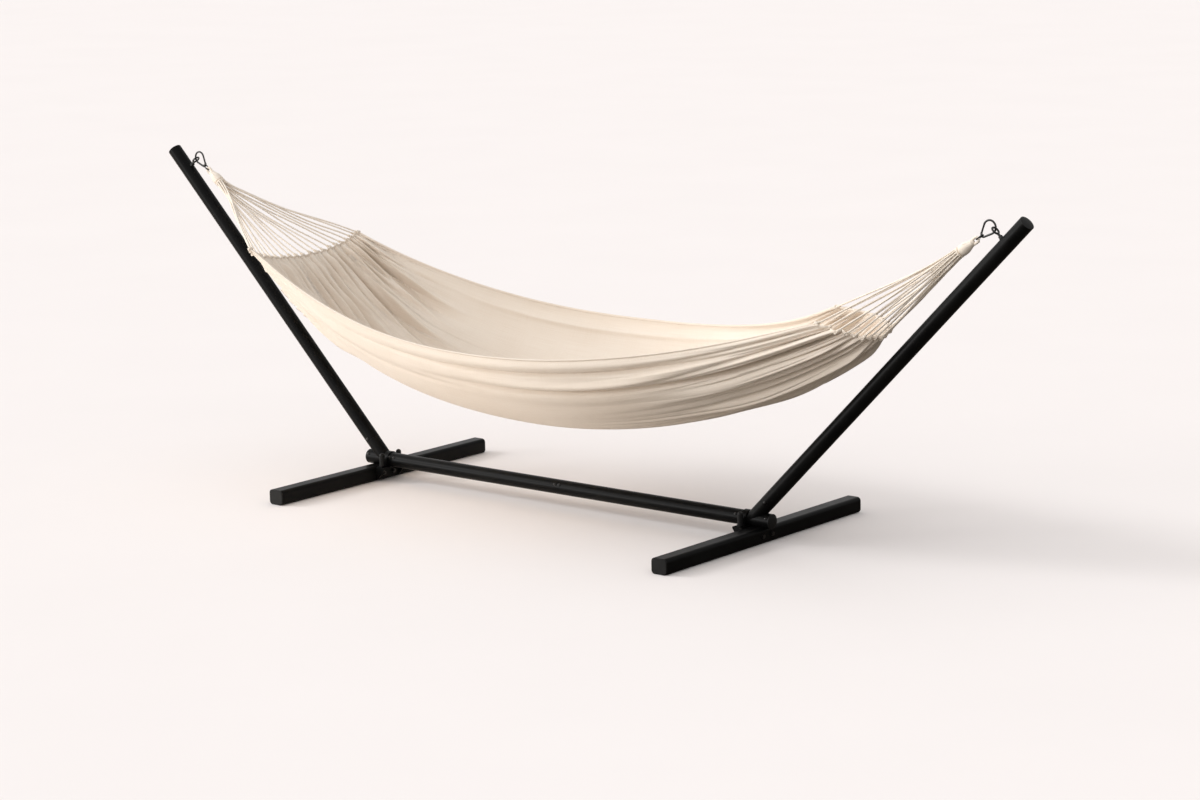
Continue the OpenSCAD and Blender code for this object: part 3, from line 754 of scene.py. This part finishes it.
def make_collar(end):
    """A bulb of cord wound round the bundle, wider towards the hammock, with a groove there."""
    side = SIDES[end]
    start = mirrored(COLLAR_START, side)
    pull, up = mirrored(PULL, side), mirrored(PULL_UP, side)
    z = np.linspace(0, 1, 110)
    bulb = 0.0098 + 0.0076 * smooth_step(0.05, 0.62, z) - 0.0055 * band(z - 0.86, 0.028)
    bulb = bulb - 0.003 * smooth_step(0.95, 1.0, z) - 0.0050 * (1 - smooth_step(0.0, 0.10, z))
    turns = 17
    angle = np.linspace(0, 2 * math.pi, 72, endpoint=False)
    winding = turns * z[:, None] + angle[None, :] / (2 * math.pi)
    wound = 0.0005 * np.abs(np.cos(math.pi * winding))
    radius = bulb[:, None] + wound
    centre = start + (z * (COLLAR_LEN + COLLAR_TAPER) - COLLAR_TAPER)[:, None] * pull
    sideways = (radius * np.cos(angle))[..., None] * ACROSS
    grid = centre[:, None] + sideways + (radius * np.sin(angle))[..., None] * up
    shape = Shape()
    shape.add_grid(grid, lambda i, j: (j * 0.0015, i * 0.0005), wrap=True, caps=True)
    # the cord's loose end, laid along the bulb
    along = COLLAR_LEN * np.linspace(-0.12, 0.34, 14)
    off_axis = 0.010 + 0.006 * smooth_step(0, 1, np.linspace(0, 1, 14))
    path = start + along[:, None] * pull + off_axis[:, None] * unit(-0.8 * ACROSS + 0.6 * up)
    even, _ = resample(path, 0.0015)
    add_tube(shape, even, 0.0021, section=ROPE, lay=0.011)
    return shape.make(f"{end}_collar_winding", COTTON_CORD)


def make_loop(end):
    """The eye of thick cord held by the link. It lies in the plane of the pull, across the link."""
    side = SIDES[end]
    start = mirrored(LOOP_START, side)
    pull, up = mirrored(PULL, side), mirrored(PULL_UP, side)
    bend = [
        start + LOOP_BEND_R * (1 - math.sin(a)) * pull + LOOP_BEND_R * math.cos(a) * up
        for a in np.linspace(0, math.pi, 24)
    ]

    def leg(k, turn):
        """A point of a leg, k of the way from the bend to the collar, above (1) or below (-1)."""
        return (
            start
            + (LOOP_BEND_R + LOOP_LEGS * k) * pull
            + turn * (LOOP_BEND_R - LOOP_NARROWING * k) * up
        )

    first = [leg(1 - k, 1) for k in np.linspace(0, 0.96, 12)]
    last = [leg(k, -1) for k in np.linspace(0.04, 1, 12)]
    even, _ = resample(np.array(first + bend + last), 0.0012)
    shape = Shape()
    add_tube(shape, even, LOOP_CORD_R, section=strand_section(15), lay=0.021)
    return shape.make(f"{end}_loop_cord", COTTON_CORD)


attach(cloth, "hammock")
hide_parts("hammock_cloth")
for piece, finish in ((rim_rolls, "canvas"), (rim_stitches, "cotton_cord")):
    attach(piece, "hammock")
for end in SIDES:
    hem = make_hem(end)
    cords, knots = make_cords(end)
    collar, loop = make_collar(end), make_loop(end)
    for piece in (hem, cords, knots, collar, loop):
        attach(piece, "hammock")
    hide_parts(f"{end}_hem")
    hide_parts(f"{end}_cords")
    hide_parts(f"{end}_collar")
    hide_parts(f"{end}_loop")

# ---------------------------------------------------------------------------------------------
# Floor, light and camera

# Directions point from the object to the light.
KEY_DIRECTION = (-1.40, -1.00, 0.55)
SHADOW_DIRECTION = (-1.75, -0.90, 1.0)
FRONT_DIRECTION = (-0.70, -0.72, 0.12)
STUDIO_STRENGTH = (0.46, 1.23)  # away from the key light, and towards it
FLOOR_HALF = 40.0
# Painted shade: the floor's colour for bounced light, tan on the left and dark brown on the right.
FLOOR_SHADE = {"left": (0.92, 0.85, 0.78), "right": (0.16, 0.135, 0.11)}
# Places of a Mix node's colour sockets, whose names its other sockets share.
MIX_A, MIX_B, MIX_RESULT = 6, 7, 2
CAMERA_PLACE = (6.4599, -7.6381, 2.3285)
CAMERA_TURN = {"yaw": -39.47, "pitch": -11.16, "roll": -1.04}
CAMERA_LENS = 94.84


def make_floor():
    """A floor that is pale to the camera. To light that goes on to the hammock it is tan on the
    left
    and brown on the right: painted shade, so the underside of the cloth keeps its shade and grows
    darker towards the right."""
    mesh = bpy.data.meshes.new("floor")
    half = FLOOR_HALF
    corners = [(-half, -half, 0), (half, -half, 0), (half, half, 0), (-half, half, 0)]
    mesh.from_pydata(corners, [], [(0, 1, 2, 3)])
    m = Nodes("pale_floor")
    mottle = m.noise(m.position(), 1.3, 4.0, 0.5)
    pale = m.ramp(mottle, (0.3, (0.850, 0.811, 0.802)), (0.7, (0.860, 0.821, 0.812)))
    seen = m.node("ShaderNodeLightPath").outputs["Is Camera Ray"]
    x = m.node("ShaderNodeSeparateXYZ", {"Vector": m.position()}).outputs["X"]
    across = m.span(x, 0.0, 1.0, -1.2, 1.2)
    # painted shade: bounced light from the floor darkens from left to right, so the cloth above it
    # is darker on the right
    shade = m.ramp(across, (0.56, FLOOR_SHADE["left"]), (0.86, FLOOR_SHADE["right"]))
    both = m.node("ShaderNodeMix", data_type="RGBA")
    m.put(both.inputs["Factor"], seen)
    m.put(both.inputs[MIX_A], shade)
    m.put(both.inputs[MIX_B], pale)
    m.set(Base_Color=both.outputs[MIX_RESULT], Roughness=0.95, Specular_IOR_Level=0.0)
    mesh.materials.append(m.material)
    floor = bpy.data.objects.new("floor", mesh)
    bpy.context.scene.collection.objects.link(floor)


def add_sun(name, direction, **settings):
    light = bpy.data.lights.new(name, "SUN")
    for key, value in settings.items():
        setattr(light, key, value)
    obj = bpy.data.objects.new(name, light)
    obj.rotation_mode = "QUATERNION"
    obj.rotation_quaternion = Vector(direction).normalized().to_track_quat("Z", "Y")
    bpy.context.scene.collection.objects.link(obj)


def make_studio():
    """Even light from all round, brighter on the side of the key light."""
    world = bpy.data.worlds.new("studio")
    world.use_nodes = True
    tree = world.node_tree
    background = tree.nodes["Background"]
    background.inputs["Color"].default_value = (1.0, 0.985, 0.975, 1)
    place = tree.nodes.new("ShaderNodeTexCoord")
    towards = tree.nodes.new("ShaderNodeVectorMath")
    towards.operation = "DOT_PRODUCT"
    towards.inputs[1].default_value = Vector(KEY_DIRECTION).normalized()
    strength = tree.nodes.new("ShaderNodeMapRange")
    strength.inputs["From Min"].default_value = -1.0
    strength.inputs["From Max"].default_value = 1.0
    strength.inputs["To Min"].default_value = STUDIO_STRENGTH[0]
    strength.inputs["To Max"].default_value = STUDIO_STRENGTH[1]
    tree.links.new(place.outputs["Generated"], towards.inputs[0])
    tree.links.new(towards.outputs["Value"], strength.inputs["Value"])
    tree.links.new(strength.outputs["Result"], background.inputs["Strength"])
    bpy.context.scene.world = world


def make_camera():
    yaw, pitch, roll = (math.radians(CAMERA_TURN[key]) for key in ("yaw", "pitch", "roll"))
    level = math.cos(pitch)
    ahead = Vector((math.sin(yaw) * level, math.cos(yaw) * level, math.sin(pitch)))
    right = Vector((math.cos(yaw), -math.sin(yaw), 0))
    up = right.cross(ahead)
    turned_right = math.cos(roll) * right + math.sin(roll) * up
    turned_up = -math.sin(roll) * right + math.cos(roll) * up
    data = bpy.data.cameras.new("camera")
    data.lens, data.sensor_width = CAMERA_LENS, 36
    data.clip_end = 200
    camera = bpy.data.objects.new("camera", data)
    turn = Matrix((turned_right, turned_up, -ahead)).transposed()
    camera.matrix_world = Matrix.Translation(CAMERA_PLACE) @ turn.to_4x4()
    bpy.context.scene.collection.objects.link(camera)
    bpy.context.scene.camera = camera


make_floor()
add_sun("key", KEY_DIRECTION, energy=0.56, angle=math.radians(60), color=(1.0, 0.985, 0.965))
add_sun("shadow_caster", SHADOW_DIRECTION, energy=0.92, angle=math.radians(14))
add_sun("front", FRONT_DIRECTION, energy=0.74, angle=math.radians(10))
make_studio()
bpy.context.scene.view_settings.view_transform = "Standard"
make_camera()
